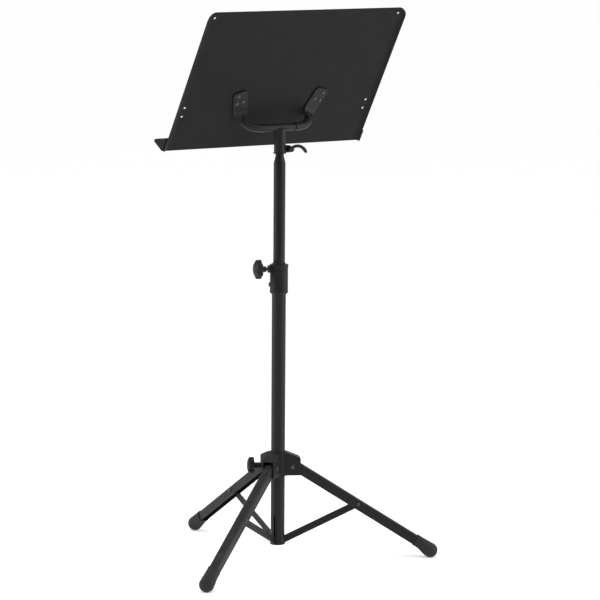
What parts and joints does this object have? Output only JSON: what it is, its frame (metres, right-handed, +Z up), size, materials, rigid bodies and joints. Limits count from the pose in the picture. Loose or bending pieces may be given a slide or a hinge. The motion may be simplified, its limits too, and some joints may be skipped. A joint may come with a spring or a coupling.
{
  "type": "music stand",
  "caption": "Folding orchestra music stand: a wide sheet-steel desk with a ledge tilts and swivels on a telescopic column above folding channel legs with stays and rubber feet.",
  "frame": {"origin": "on the floor, under the axis of the column, with the stand unfolded", "axes": "+Z up the column; -Y towards the reader, where the desk's front and its ledge face; +X to the right of a reader who faces the stand"},
  "size_m": [0.6042, 0.5275, 1.1815],
  "materials": {
    "steel": "satin black powder coat",
    "desk_sheet": "fine-textured black powder coat",
    "plastic": "moulded glass-filled nylon, matt",
    "rubber": "matt black rubber",
    "blackened_steel": "black zinc plated",
    "brass": "turned brass insert"
  },
  "bodies": {
    "column": {"lower_tube": "steel", "column_foot": "plastic", "stay_pins": "blackened_steel", "collar": "plastic", "collar_insert": "brass", "collar_pad": "plastic", "collar_fixing_screw": "blackened_steel"},
    "collar_clamp": {"collar_screw": "blackened_steel", "collar_knob": "plastic"},
    "mast": {"upper_tube": "steel", "tube_glide": "plastic"},
    "spigot_bush": {"desk_bush": "plastic"},
    "desk_post": {"socket_tube": "steel", "tee_barrel": "steel", "friction_washers": "rubber", "clamp_bolt": "blackened_steel"},
    "desk_clamp": {"clamp_lever": "plastic"},
    "desk": {"tilt_axle": "blackened_steel", "yoke_arm_left": "steel", "yoke_arm_right": "steel", "yoke_rivets": "blackened_steel", "desk_sheet": "desk_sheet"},
    "leg_hub": {"hub": "plastic", "hub_rivets": "blackened_steel", "hub_insert": "brass", "hub_pad": "plastic"},
    "hub_clamp": {"hub_screw": "blackened_steel", "hub_knob": "plastic"},
    "stay_link_1": {"stay_1": "steel"},
    "leg_set_1": {"leg_1": "steel", "leg_rivet_1": "blackened_steel", "stay_spacers_1": "plastic", "foot_1": "rubber"},
    "stay_link_2": {"stay_2": "steel"},
    "leg_set_2": {"leg_2": "steel", "leg_rivet_2": "blackened_steel", "stay_spacers_2": "plastic", "foot_2": "rubber"},
    "stay_link_3": {"stay_3": "steel"},
    "leg_set_3": {"leg_3": "steel", "leg_rivet_3": "blackened_steel", "stay_spacers_3": "plastic", "foot_3": "rubber"}
  },
  "joints": [
    {"name": "leg_fold", "type": "hinge", "parent": "column", "child": "stay_link_3", "pos_m": [-0.01039, 0.006, 0.0425], "axis": [0.5, 0.866, 0], "range_deg": [0, 50]},
    {"name": "stay_1_fold", "type": "hinge", "parent": "column", "child": "stay_link_1", "pos_m": [0, -0.012, 0.0425], "axis": [-1, 0, 0], "range_deg": [0, 50]},
    {"name": "stay_2_fold", "type": "hinge", "parent": "column", "child": "stay_link_2", "pos_m": [0.01039, 0.006, 0.0425], "axis": [0.5, -0.866, 0], "range_deg": [0, 50]},
    {"name": "leg_1_fold", "type": "hinge", "parent": "stay_link_1", "child": "leg_set_1", "pos_m": [0, -0.1724, 0.1197], "axis": [-1, 0, 0], "range_deg": [-100.75, 0]},
    {"name": "leg_2_fold", "type": "hinge", "parent": "stay_link_2", "child": "leg_set_2", "pos_m": [0.1493, 0.0862, 0.1197], "axis": [0.5, -0.866, 0], "range_deg": [-100.75, 0]},
    {"name": "leg_3_fold", "type": "hinge", "parent": "stay_link_3", "child": "leg_set_3", "pos_m": [-0.1493, 0.0862, 0.1197], "axis": [0.5, 0.866, 0], "range_deg": [-100.75, 0]},
    {"name": "hub_pivot", "type": "hinge", "parent": "leg_set_3", "child": "leg_hub", "pos_m": [-0.02598, 0.015, 0.203], "axis": [0.5, 0.866, 0], "range_deg": [0, 50.75]},
    {"name": "hub_knob_turn", "type": "hinge", "parent": "leg_hub", "child": "hub_clamp", "pos_m": [0.03464, -0.02, 0.205], "axis": [0.866, -0.5, 0], "range_deg": [0, 360]},
    {"name": "collar_knob_turn", "type": "hinge", "parent": "column", "child": "collar_clamp", "pos_m": [0.03804, -0.01236, 0.6295], "axis": [0.9511, -0.309, 0], "range_deg": [0, 360]},
    {"name": "height_slide", "type": "slide", "parent": "column", "child": "mast", "axis": [0, 0, 1], "range_m": [-0.19, 0.215]},
    {"name": "desk_lift_off", "type": "slide", "parent": "mast", "child": "spigot_bush", "axis": [0, 0, 1], "range_m": [0, 0.075]},
    {"name": "desk_swivel", "type": "hinge", "parent": "spigot_bush", "child": "desk_post", "pos_m": [0, 0, 0.9], "axis": [0, 0, 1], "continuous": true},
    {"name": "clamp_lever_turn", "type": "hinge", "parent": "desk_post", "child": "desk_clamp", "pos_m": [-0.02, 0.01, 0.884], "axis": [0, 1, 0], "range_deg": [-50, 40]},
    {"name": "desk_tilt", "type": "hinge", "parent": "desk_post", "child": "desk", "pos_m": [0, 0, 0.93], "axis": [1, 0, 0], "range_deg": [-59, 31]}
  ],
  "couplings": [
    {"joint": "stay_1_fold", "follows": "leg_fold", "ratio": 1},
    {"joint": "stay_2_fold", "follows": "leg_fold", "ratio": 1},
    {"joint": "leg_1_fold", "follows": "leg_fold", "ratio": -2.005},
    {"joint": "leg_2_fold", "follows": "leg_fold", "ratio": -2.005},
    {"joint": "leg_3_fold", "follows": "leg_fold", "ratio": -2.005},
    {"joint": "hub_pivot", "follows": "leg_fold", "ratio": 1.005}
  ]
}
